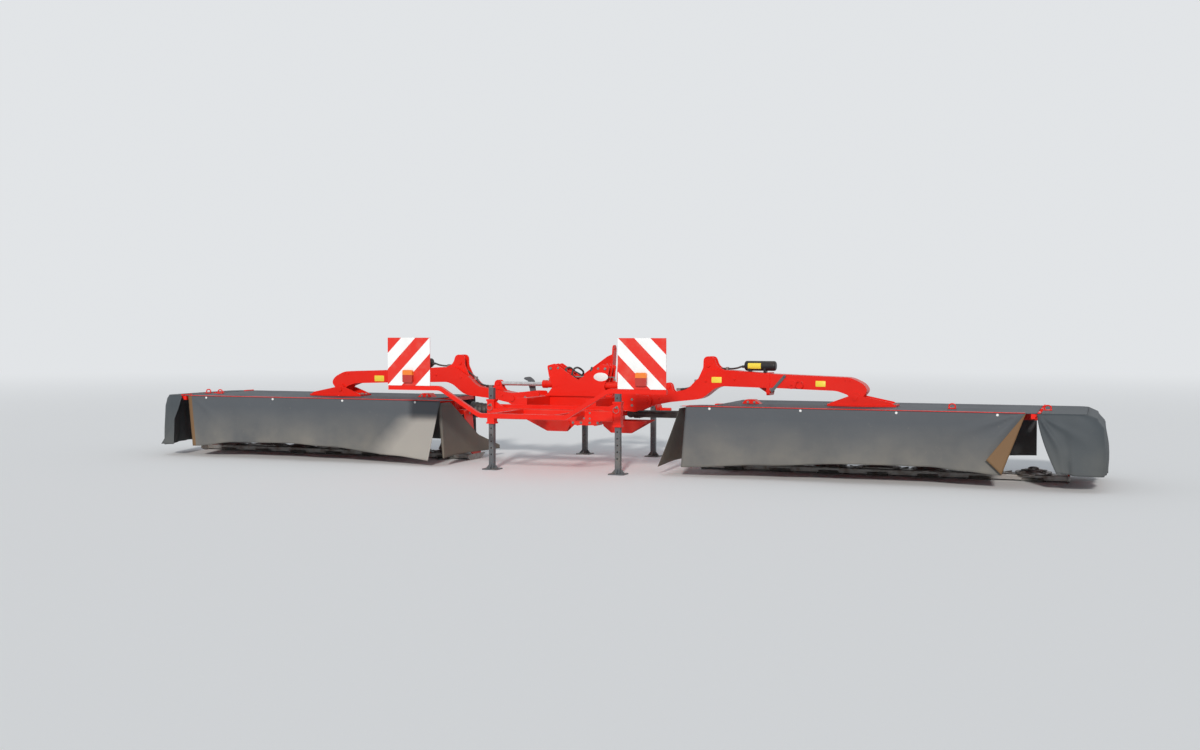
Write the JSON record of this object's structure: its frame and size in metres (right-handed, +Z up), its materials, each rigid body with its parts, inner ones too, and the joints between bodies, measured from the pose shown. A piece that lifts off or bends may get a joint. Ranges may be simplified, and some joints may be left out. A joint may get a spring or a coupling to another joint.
{
  "type": "rear-mounted butterfly disc mower",
  "caption": "Rear-mounted butterfly disc mower with folding arms, hanging cutting units, curtained covers, spinning discs and parking legs.",
  "frame": {"origin": "middle of the bounding box in X and Y, on the floor under the skids and legs", "axes": "+X to the right seen from behind, +Y forward in the driving direction, +Z up"},
  "size_m": [9, 2.55, 1.219],
  "materials": {
    "red_paint": "gloss",
    "curtain": "matte",
    "steel": "satin",
    "black_guard": "matte",
    "grey_paint": "satin",
    "board": "satin",
    "lamp": "gloss",
    "black_paint": "satin",
    "rod": "polished"
  },
  "bodies": {
    "frame": {"headstock": "red_paint", "mast": "red_paint", "mast_braces": "red_paint", "main_frame": "red_paint", "fold_tower": "red_paint", "rear_crossbeam": "red_paint", "board_carrier": "red_paint", "warning_boards": "board", "tail_lamps": "lamp", "center_gearbox": "red_paint", "transport_hooks": "grey_paint", "shaft_guards": "red_paint"},
    "arm_right": {"arm_inner_right": "red_paint", "arm_outer_right": "red_paint", "accumulator_right": "black_paint"},
    "fold_cylinder_right": {"fold_cylinder_right": "red_paint"},
    "fold_rod_right": {"fold_rod_right": "rod"},
    "unit_right": {"unit_frame_right": "red_paint", "cover_right": "curtain", "curtains_right": "curtain", "cutter_bar_right": "steel", "unit_gearbox_right": "red_paint"},
    "outer_flap_right": {"flap_frame_right": "red_paint", "outer_flap_right": "curtain"},
    "pto_shaft_inner_right": {"pto_shaft_inner_right": "black_guard"},
    "pto_shaft_outer_right": {"pto_shaft_outer_right": "black_guard"},
    "rear_leg_right": {"rear_leg_right": "grey_paint"},
    "front_leg_right": {"front_leg_right": "grey_paint"},
    "disc_right_1": {"disc_right_1": "steel"},
    "disc_right_2": {"disc_right_2": "steel"},
    "disc_right_3": {"disc_right_3": "steel"},
    "disc_right_4": {"disc_right_4": "steel"},
    "disc_right_5": {"disc_right_5": "steel"},
    "disc_right_6": {"disc_right_6": "steel"},
    "disc_right_7": {"disc_right_7": "steel"},
    "arm_left": {"arm_inner_left": "red_paint", "arm_outer_left": "red_paint", "accumulator_left": "black_paint"},
    "fold_cylinder_left": {"fold_cylinder_left": "red_paint"},
    "fold_rod_left": {"fold_rod_left": "rod"},
    "unit_left": {"unit_frame_left": "red_paint", "cover_left": "curtain", "curtains_left": "curtain", "cutter_bar_left": "steel", "unit_gearbox_left": "red_paint"},
    "outer_flap_left": {"flap_frame_left": "red_paint", "outer_flap_left": "curtain"},
    "pto_shaft_inner_left": {"pto_shaft_inner_left": "black_guard"},
    "pto_shaft_outer_left": {"pto_shaft_outer_left": "black_guard"},
    "rear_leg_left": {"rear_leg_left": "grey_paint"},
    "front_leg_left": {"front_leg_left": "grey_paint"},
    "disc_left_1": {"disc_left_1": "steel"},
    "disc_left_2": {"disc_left_2": "steel"},
    "disc_left_3": {"disc_left_3": "steel"},
    "disc_left_4": {"disc_left_4": "steel"},
    "disc_left_5": {"disc_left_5": "steel"},
    "disc_left_6": {"disc_left_6": "steel"},
    "disc_left_7": {"disc_left_7": "steel"}
  },
  "joints": [
    {"name": "fold_right", "type": "hinge", "parent": "frame", "child": "arm_right", "pos_m": [0.68, 0.15, 0.625], "axis": [0, -1, 0], "range_deg": [-5, 90]},
    {"name": "pendulum_right", "type": "hinge", "parent": "arm_right", "child": "unit_right", "pos_m": [2.615, 0.15, 0.69], "axis": [0, -1, 0], "range_deg": [-5, 8]},
    {"name": "cylinder_swing_right", "type": "hinge", "parent": "frame", "child": "fold_cylinder_right", "pos_m": [-0.22, 0.104, 0.765], "axis": [0, -1, 0], "range_deg": [-1, 7]},
    {"name": "rod_slide_right", "type": "slide", "parent": "fold_cylinder_right", "child": "fold_rod_right", "axis": [1, 0, 0], "range_m": [-0.36, 0.03]},
    {"name": "shaft_swing_right", "type": "hinge", "parent": "frame", "child": "pto_shaft_inner_right", "pos_m": [0.44, 0.345, 0.49], "axis": [0, -1, 0], "range_deg": [-5, 70]},
    {"name": "shaft_slide_right", "type": "slide", "parent": "pto_shaft_inner_right", "child": "pto_shaft_outer_right", "axis": [1, 0, 0], "range_m": [-0.08, 0.01]},
    {"name": "flap_right", "type": "hinge", "parent": "unit_right", "child": "outer_flap_right", "pos_m": [4.166, 0.13, 0.619], "axis": [0, -1, 0], "range_deg": [0, 100]},
    {"name": "rear_leg_slide_right", "type": "slide", "parent": "frame", "child": "rear_leg_right", "axis": [0, 0, 1], "range_m": [0, 0.33]},
    {"name": "front_leg_slide_right", "type": "slide", "parent": "frame", "child": "front_leg_right", "axis": [0, 0, 1], "range_m": [0, 0.33]},
    {"name": "disc_spin_right_1", "type": "hinge", "parent": "unit_right", "child": "disc_right_1", "pos_m": [1.485, 0.3, 0.06], "axis": [0, 0, 1], "continuous": true},
    {"name": "disc_spin_right_2", "type": "hinge", "parent": "unit_right", "child": "disc_right_2", "pos_m": [1.92, 0.3, 0.06], "axis": [0, 0, 1], "continuous": true},
    {"name": "disc_spin_right_3", "type": "hinge", "parent": "unit_right", "child": "disc_right_3", "pos_m": [2.355, 0.3, 0.06], "axis": [0, 0, 1], "continuous": true},
    {"name": "disc_spin_right_4", "type": "hinge", "parent": "unit_right", "child": "disc_right_4", "pos_m": [2.79, 0.3, 0.06], "axis": [0, 0, 1], "continuous": true},
    {"name": "disc_spin_right_5", "type": "hinge", "parent": "unit_right", "child": "disc_right_5", "pos_m": [3.225, 0.3, 0.06], "axis": [0, 0, 1], "continuous": true},
    {"name": "disc_spin_right_6", "type": "hinge", "parent": "unit_right", "child": "disc_right_6", "pos_m": [3.66, 0.3, 0.06], "axis": [0, 0, 1], "continuous": true},
    {"name": "disc_spin_right_7", "type": "hinge", "parent": "unit_right", "child": "disc_right_7", "pos_m": [4.095, 0.3, 0.06], "axis": [0, 0, 1], "continuous": true},
    {"name": "fold_left", "type": "hinge", "parent": "frame", "child": "arm_left", "pos_m": [-0.68, 0.15, 0.625], "axis": [0, 1, 0], "range_deg": [-5, 90]},
    {"name": "pendulum_left", "type": "hinge", "parent": "arm_left", "child": "unit_left", "pos_m": [-2.615, 0.15, 0.69], "axis": [0, 1, 0], "range_deg": [-5, 8]},
    {"name": "cylinder_swing_left", "type": "hinge", "parent": "frame", "child": "fold_cylinder_left", "pos_m": [0.22, 0.196, 0.765], "axis": [0, 1, 0], "range_deg": [-1, 7]},
    {"name": "rod_slide_left", "type": "slide", "parent": "fold_cylinder_left", "child": "fold_rod_left", "axis": [-1, 0, 0], "range_m": [-0.36, 0.03]},
    {"name": "shaft_swing_left", "type": "hinge", "parent": "frame", "child": "pto_shaft_inner_left", "pos_m": [-0.44, 0.345, 0.49], "axis": [0, 1, 0], "range_deg": [-5, 70]},
    {"name": "shaft_slide_left", "type": "slide", "parent": "pto_shaft_inner_left", "child": "pto_shaft_outer_left", "axis": [-1, 0, 0], "range_m": [-0.08, 0.01]},
    {"name": "flap_left", "type": "hinge", "parent": "unit_left", "child": "outer_flap_left", "pos_m": [-4.166, 0.13, 0.619], "axis": [0, 1, 0], "range_deg": [0, 100]},
    {"name": "rear_leg_slide_left", "type": "slide", "parent": "frame", "child": "rear_leg_left", "axis": [0, 0, 1], "range_m": [0, 0.33]},
    {"name": "front_leg_slide_left", "type": "slide", "parent": "frame", "child": "front_leg_left", "axis": [0, 0, 1], "range_m": [0, 0.33]},
    {"name": "disc_spin_left_1", "type": "hinge", "parent": "unit_left", "child": "disc_left_1", "pos_m": [-1.485, 0.3, 0.06], "axis": [0, 0, 1], "continuous": true},
    {"name": "disc_spin_left_2", "type": "hinge", "parent": "unit_left", "child": "disc_left_2", "pos_m": [-1.92, 0.3, 0.06], "axis": [0, 0, 1], "continuous": true},
    {"name": "disc_spin_left_3", "type": "hinge", "parent": "unit_left", "child": "disc_left_3", "pos_m": [-2.355, 0.3, 0.06], "axis": [0, 0, 1], "continuous": true},
    {"name": "disc_spin_left_4", "type": "hinge", "parent": "unit_left", "child": "disc_left_4", "pos_m": [-2.79, 0.3, 0.06], "axis": [0, 0, 1], "continuous": true},
    {"name": "disc_spin_left_5", "type": "hinge", "parent": "unit_left", "child": "disc_left_5", "pos_m": [-3.225, 0.3, 0.06], "axis": [0, 0, 1], "continuous": true},
    {"name": "disc_spin_left_6", "type": "hinge", "parent": "unit_left", "child": "disc_left_6", "pos_m": [-3.66, 0.3, 0.06], "axis": [0, 0, 1], "continuous": true},
    {"name": "disc_spin_left_7", "type": "hinge", "parent": "unit_left", "child": "disc_left_7", "pos_m": [-4.095, 0.3, 0.06], "axis": [0, 0, 1], "continuous": true}
  ],
  "couplings": [
    {"joint": "cylinder_swing_right", "follows": "fold_right", "ratio": 0.05847},
    {"joint": "rod_slide_right", "follows": "fold_right", "m_per_rad": -0.22077},
    {"joint": "shaft_swing_right", "follows": "fold_right", "ratio": 0.69322},
    {"joint": "shaft_slide_right", "follows": "fold_right", "m_per_rad": -0.00818},
    {"joint": "disc_spin_right_2", "follows": "disc_spin_right_1", "ratio": -1},
    {"joint": "disc_spin_right_3", "follows": "disc_spin_right_1", "ratio": 1},
    {"joint": "disc_spin_right_4", "follows": "disc_spin_right_1", "ratio": -1},
    {"joint": "disc_spin_right_5", "follows": "disc_spin_right_1", "ratio": 1},
    {"joint": "disc_spin_right_6", "follows": "disc_spin_right_1", "ratio": -1},
    {"joint": "disc_spin_right_7", "follows": "disc_spin_right_1", "ratio": 1},
    {"joint": "cylinder_swing_left", "follows": "fold_left", "ratio": 0.05847},
    {"joint": "rod_slide_left", "follows": "fold_left", "m_per_rad": -0.22077},
    {"joint": "shaft_swing_left", "follows": "fold_left", "ratio": 0.69322},
    {"joint": "shaft_slide_left", "follows": "fold_left", "m_per_rad": -0.00818},
    {"joint": "disc_spin_left_2", "follows": "disc_spin_left_1", "ratio": -1},
    {"joint": "disc_spin_left_3", "follows": "disc_spin_left_1", "ratio": 1},
    {"joint": "disc_spin_left_4", "follows": "disc_spin_left_1", "ratio": -1},
    {"joint": "disc_spin_left_5", "follows": "disc_spin_left_1", "ratio": 1},
    {"joint": "disc_spin_left_6", "follows": "disc_spin_left_1", "ratio": -1},
    {"joint": "disc_spin_left_7", "follows": "disc_spin_left_1", "ratio": 1}
  ]
}
